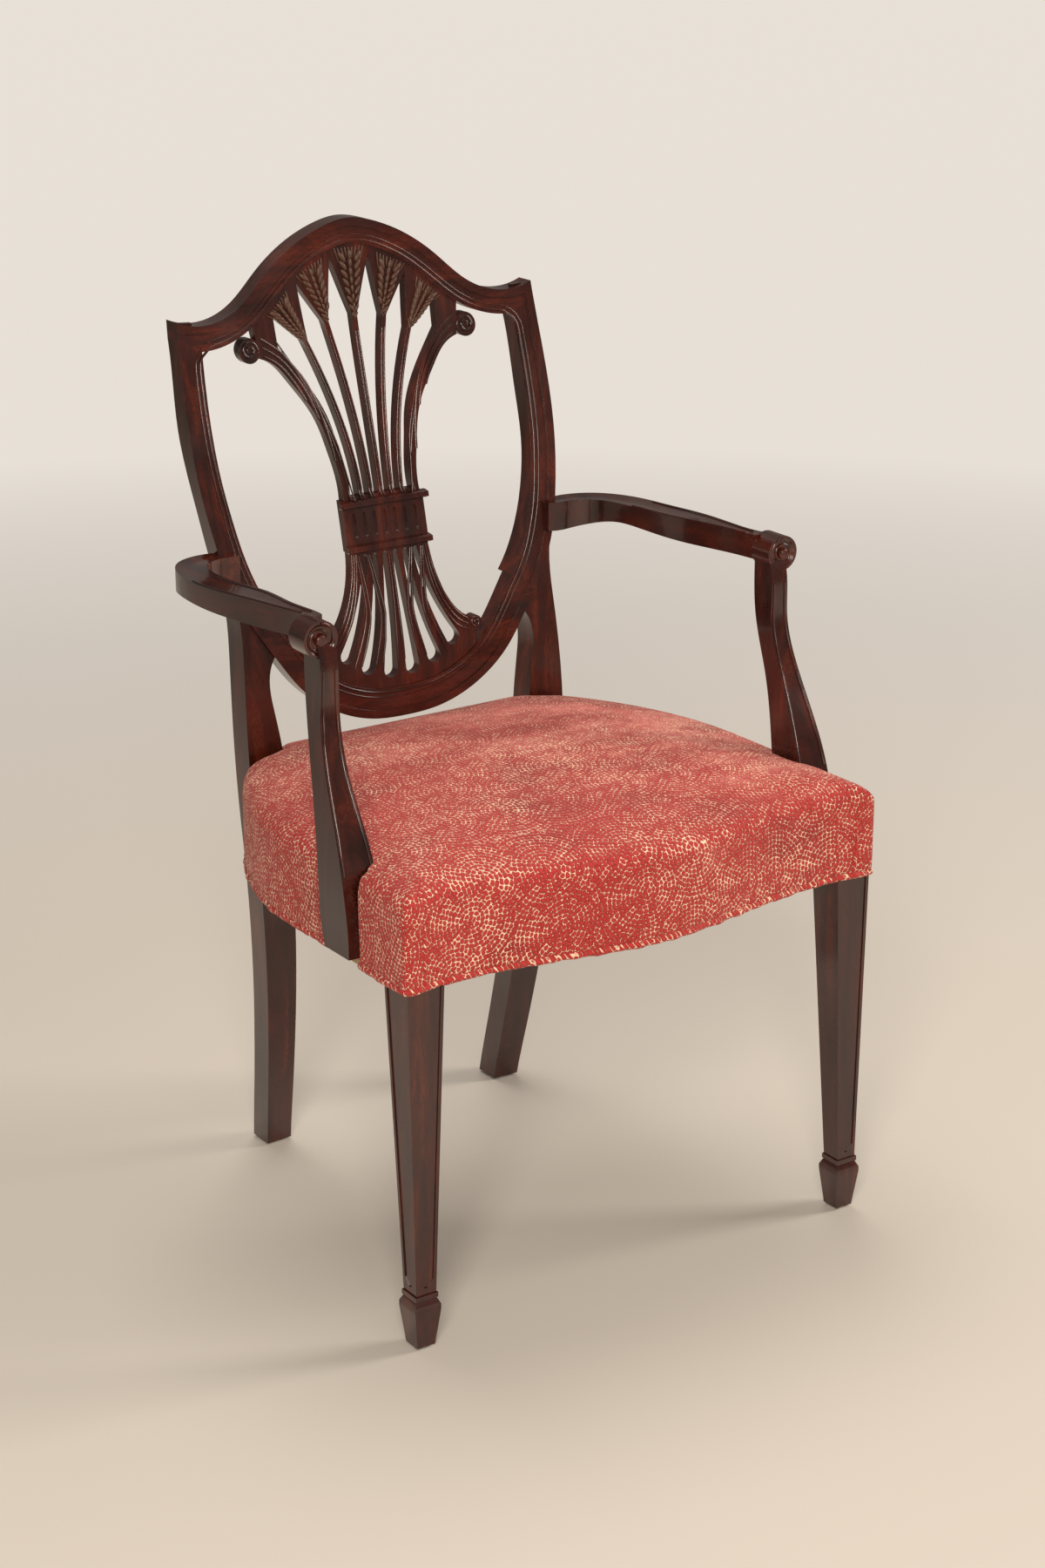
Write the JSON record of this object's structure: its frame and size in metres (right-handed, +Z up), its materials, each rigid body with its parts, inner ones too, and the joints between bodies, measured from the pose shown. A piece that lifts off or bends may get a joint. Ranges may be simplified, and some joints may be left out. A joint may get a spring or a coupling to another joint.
{
  "type": "armchair",
  "caption": "Open armchair with a shield-shaped carved back, wheat-sheaf splat, scrolled arms, serpentine upholstered seat and square tapered front legs on spade feet.",
  "frame": {"origin": "centre of the bounding box at floor level, under the feet", "axes": "+Z up, the sitter faces -Y, +X towards the sitter's left; the chair is mirrored about X = 0"},
  "size_m": [0.5762, 0.5821, 0.977],
  "materials": {
    "mahogany": "dark red-brown mahogany, satin gloss",
    "beech": "unfinished beech",
    "glide_steel": "nickelled glides",
    "webbing": "woven jute",
    "velvet": "coral-red cut velvet with cream dots",
    "cambric": "black cambric"
  },
  "bodies": {
    "root": {"back_post_left": "mahogany", "back_post_right": "mahogany", "crest_rail": "mahogany", "shield_lower_rail": "mahogany", "splat": "mahogany", "front_leg_left": "mahogany", "front_leg_right": "mahogany", "arm_left": "mahogany", "arm_support_left": "mahogany", "arm_right": "mahogany", "arm_support_right": "mahogany", "shield_tenons": "mahogany", "side_rail_left": "beech", "side_rail_right": "beech", "front_rail": "beech", "rear_rail": "beech", "front_block_left": "beech", "rear_block_left": "beech", "front_block_right": "beech", "rear_block_right": "beech", "foot_glides": "glide_steel", "webbing_lengthwise": "webbing", "webbing_crosswise": "webbing", "seat_cushion": "velvet", "seat_wall": "velvet", "dust_cover": "cambric"}
  },
  "joints": []
}
